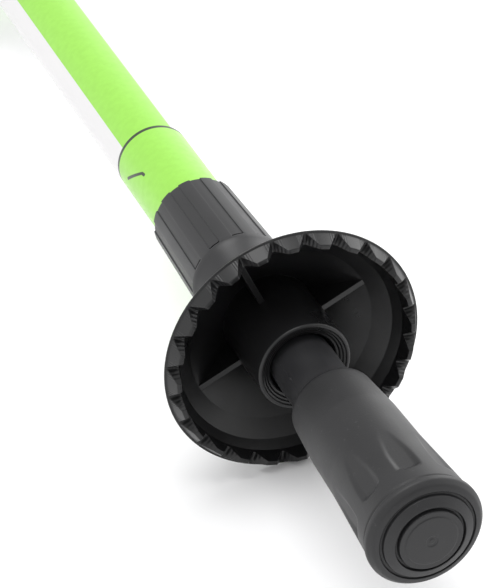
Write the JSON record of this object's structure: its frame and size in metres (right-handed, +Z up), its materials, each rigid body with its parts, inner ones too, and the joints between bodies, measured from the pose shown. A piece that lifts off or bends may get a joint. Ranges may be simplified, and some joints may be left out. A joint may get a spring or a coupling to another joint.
{
  "type": "telescopic trekking pole",
  "caption": "Telescopic trekking pole laid down in its stowed length, with twist locks, a toothed trail basket, a fluted tip ferrule and a push-on rubber foot.",
  "frame": {"origin": "middle of the pole's length, on the floor under its axis", "axes": "+Y along the pole from the tip to the grip, +Z up, X across; the pole lies on the basket's rim and the grip's nose"},
  "size_m": [0.0516, 0.6362, 0.0518],
  "materials": {
    "tube_upper": "glossy lime paint",
    "tube_middle": "satin anodised",
    "tube_lower": "glossy lime paint with white side panels and a dark ring line",
    "collar": "fine matte",
    "grip_rubber": "matte moulded rubber",
    "grip_head": "satin",
    "inlay": "gloss",
    "lock_plastic": "satin nylon",
    "steel": "bright zinc",
    "ferrule": "satin moulded",
    "carbide": "ground",
    "basket": "satin moulded",
    "foot_rubber": "matte moulded rubber"
  },
  "bodies": {
    "upper_section": {"upper_tube": "tube_upper", "upper_collar": "collar", "grip_ring": "collar", "grip_handle": "grip_rubber", "grip_head": "grip_head", "head_inlay": "inlay"},
    "middle_lock": {"middle_sleeve": "lock_plastic"},
    "middle_wedge": {"middle_nut": "lock_plastic"},
    "middle_section": {"middle_tube": "tube_middle", "middle_collar": "collar", "middle_plug": "lock_plastic", "middle_spindle": "steel"},
    "lower_lock": {"lower_sleeve": "lock_plastic"},
    "lower_wedge": {"lower_nut": "lock_plastic"},
    "lower_section": {"lower_tube": "tube_lower", "lower_plug": "lock_plastic", "lower_spindle": "steel", "flex_tip": "ferrule", "tip_holder": "steel", "carbide_tip": "carbide"},
    "trail_basket": {"basket": "basket"},
    "rubber_foot": {"boot": "foot_rubber", "boot_washer": "steel"}
  },
  "joints": [
    {"name": "middle_slide", "type": "slide", "parent": "upper_section", "child": "middle_lock", "axis": [0, -1, 0], "range_m": [0, 0.2]},
    {"name": "middle_twist", "type": "hinge", "parent": "middle_lock", "child": "middle_section", "pos_m": [0, 0.0446, 0.0258], "axis": [0, -1, 0], "range_deg": [0, 540]},
    {"name": "middle_wedge_travel", "type": "slide", "parent": "middle_lock", "child": "middle_wedge", "axis": [0, -1, 0], "range_m": [0, 0.0023]},
    {"name": "lower_slide", "type": "slide", "parent": "middle_section", "child": "lower_lock", "axis": [0, -1, 0], "range_m": [-0.088, 0.11]},
    {"name": "lower_twist", "type": "hinge", "parent": "lower_lock", "child": "lower_section", "pos_m": [0, -0.1354, 0.0258], "axis": [0, -1, 0], "range_deg": [0, 540]},
    {"name": "lower_wedge_travel", "type": "slide", "parent": "lower_lock", "child": "lower_wedge", "axis": [0, -1, 0], "range_m": [0, 0.0023]},
    {"name": "basket_turn", "type": "hinge", "parent": "lower_section", "child": "trail_basket", "pos_m": [0, -0.2554, 0.0258], "axis": [0, -1, 0], "continuous": true},
    {"name": "foot_pull", "type": "slide", "parent": "lower_section", "child": "rubber_foot", "axis": [0, -1, 0], "range_m": [0, 0.028]}
  ],
  "couplings": [
    {"joint": "middle_wedge_travel", "follows": "middle_twist", "m_per_rad": 0.00023873},
    {"joint": "lower_wedge_travel", "follows": "lower_twist", "m_per_rad": 0.00023873}
  ]
}
